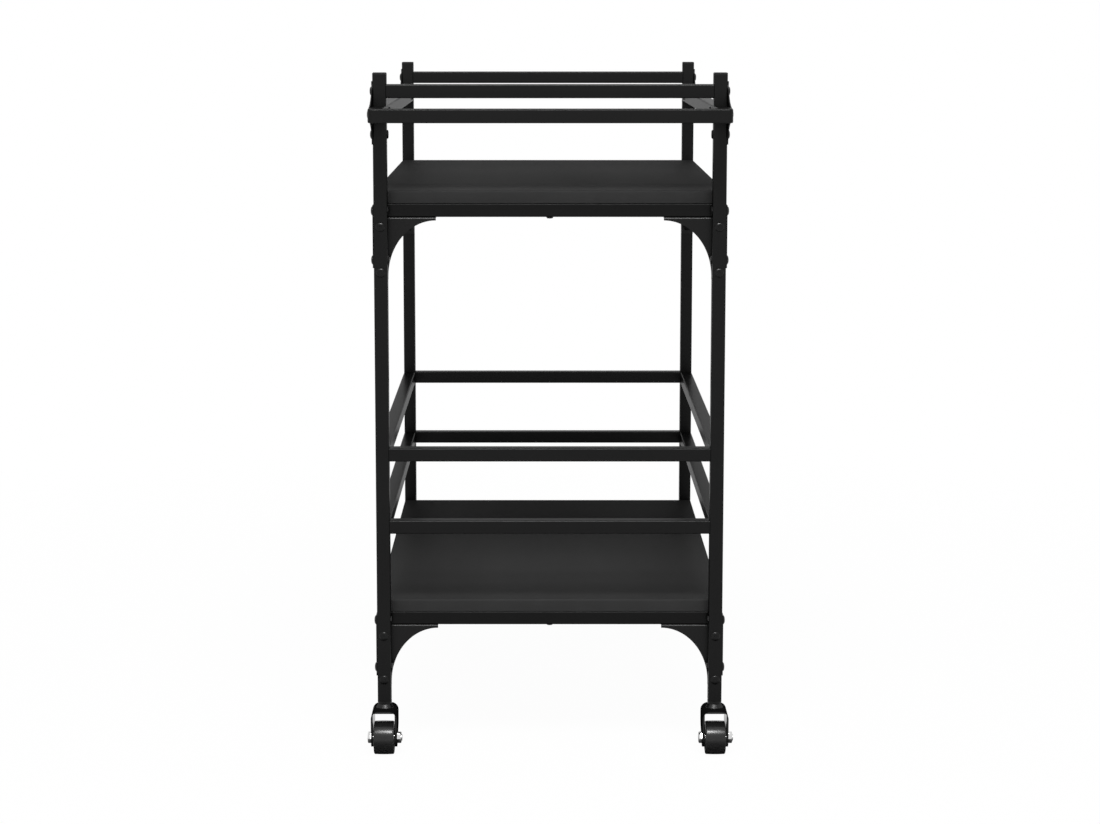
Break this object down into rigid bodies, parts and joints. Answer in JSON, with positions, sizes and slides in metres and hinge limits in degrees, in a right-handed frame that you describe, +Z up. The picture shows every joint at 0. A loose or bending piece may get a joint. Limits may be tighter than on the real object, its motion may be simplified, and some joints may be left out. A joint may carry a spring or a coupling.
{
  "type": "kitchen cart",
  "caption": "Narrow rolling kitchen cart of black square tube, with two black boards, guard rails round the lower one, curved corner gussets, a push handle and swivel casters.",
  "frame": {"origin": "On the floor under the middle of the cart's overall box, where the wheels stand.", "axes": "+X to the right as seen from the handle's end, -Y towards that end, +Z up."},
  "size_m": [0.436, 0.714, 0.81],
  "materials": {
    "frame": "satin black powder coat",
    "board": "black laminate with a soft sheen",
    "fork": "gloss black",
    "wheel": "smooth, glossy black",
    "axle": "bright plated",
    "stem": "plated steel",
    "plug": "moulded black",
    "fastener": "black coated steel"
  },
  "bodies": {
    "cart": {"board_screws": "fastener", "cap_nuts": "fastener", "caster_stems": "stem", "end_bolts": "fastener", "flange_screws": "fastener", "front_joint_plates": "frame", "handle": "frame", "lower_front_gussets": "frame", "lower_guard_front": "frame", "lower_guard_left": "frame", "lower_guard_rear": "frame", "lower_guard_right": "frame", "lower_left_gussets": "frame", "lower_rear_gussets": "frame", "lower_right_gussets": "frame", "lower_shelf": "board", "lower_shelf_rail_front": "frame", "lower_shelf_rail_left": "frame", "lower_shelf_rail_rear": "frame", "lower_shelf_rail_right": "frame", "post_caps": "plug", "post_front_left": "frame", "post_front_right": "frame", "post_rear_left": "frame", "post_rear_right": "frame", "rail_bolts": "fastener", "rail_plugs": "plug", "rear_joint_plates": "frame", "side_bolts": "fastener", "stem_sockets": "plug", "top_rail_front": "frame", "top_rail_left": "frame", "top_rail_rear": "frame", "top_rail_right": "frame", "upper_front_gussets": "frame", "upper_guard_front": "frame", "upper_guard_left": "frame", "upper_guard_rear": "frame", "upper_guard_right": "frame", "upper_left_gussets": "frame", "upper_rear_gussets": "frame", "upper_right_gussets": "frame", "upper_shelf": "board", "upper_shelf_rail_front": "frame", "upper_shelf_rail_left": "frame", "upper_shelf_rail_rear": "frame", "upper_shelf_rail_right": "frame"},
    "swivel_front_left": {"fork_front_left": "fork", "axle_front_left": "axle"},
    "roller_front_left": {"wheel_front_left": "wheel"},
    "swivel_front_right": {"fork_front_right": "fork", "axle_front_right": "axle"},
    "roller_front_right": {"wheel_front_right": "wheel"},
    "swivel_rear_left": {"fork_rear_left": "fork", "axle_rear_left": "axle"},
    "roller_rear_left": {"wheel_rear_left": "wheel"},
    "swivel_rear_right": {"fork_rear_right": "fork", "axle_rear_right": "axle"},
    "roller_rear_right": {"wheel_rear_right": "wheel"}
  },
  "joints": [
    {"name": "swivel_front_left", "type": "hinge", "parent": "cart", "child": "swivel_front_left", "pos_m": [-0.1975, -0.264, 0.056], "axis": [0, 0, 1], "continuous": true},
    {"name": "roll_front_left", "type": "hinge", "parent": "swivel_front_left", "child": "roller_front_left", "pos_m": [-0.1975, -0.278, 0.02], "axis": [1, 0, 0], "continuous": true},
    {"name": "swivel_front_right", "type": "hinge", "parent": "cart", "child": "swivel_front_right", "pos_m": [0.1975, -0.264, 0.056], "axis": [0, 0, 1], "continuous": true},
    {"name": "roll_front_right", "type": "hinge", "parent": "swivel_front_right", "child": "roller_front_right", "pos_m": [0.1975, -0.278, 0.02], "axis": [1, 0, 0], "continuous": true},
    {"name": "swivel_rear_left", "type": "hinge", "parent": "cart", "child": "swivel_rear_left", "pos_m": [-0.1975, 0.34, 0.056], "axis": [0, 0, 1], "continuous": true},
    {"name": "roll_rear_left", "type": "hinge", "parent": "swivel_rear_left", "child": "roller_rear_left", "pos_m": [-0.1975, 0.326, 0.02], "axis": [1, 0, 0], "continuous": true},
    {"name": "swivel_rear_right", "type": "hinge", "parent": "cart", "child": "swivel_rear_right", "pos_m": [0.1975, 0.34, 0.056], "axis": [0, 0, 1], "continuous": true},
    {"name": "roll_rear_right", "type": "hinge", "parent": "swivel_rear_right", "child": "roller_rear_right", "pos_m": [0.1975, 0.326, 0.02], "axis": [1, 0, 0], "continuous": true}
  ]
}
